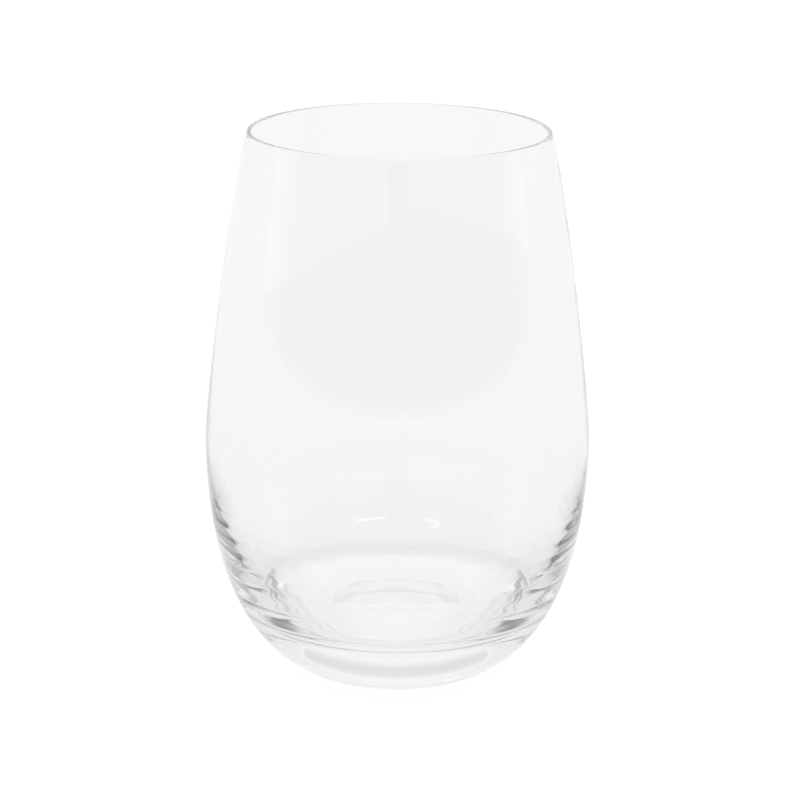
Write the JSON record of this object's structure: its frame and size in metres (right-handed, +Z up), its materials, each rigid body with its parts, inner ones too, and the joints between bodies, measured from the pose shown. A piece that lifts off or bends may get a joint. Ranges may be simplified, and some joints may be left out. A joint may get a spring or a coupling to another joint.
{
  "type": "water glass",
  "caption": "Stemless clear drinking glass: a round belly, walls drawn in to a thin rounded lip, and a heavy base with a shallow hollow underneath.",
  "frame": {"origin": "centre of the standing ring, on the plane that the glass stands on", "axes": "+Z up along the axis of the glass, from the base to the lip; X and Y are free, because the glass is round"},
  "size_m": [0.0804, 0.0804, 0.115],
  "materials": {
    "clear_glass": "fire-polished clear"
  },
  "bodies": {
    "root": {"tumbler": "clear_glass"}
  },
  "joints": []
}
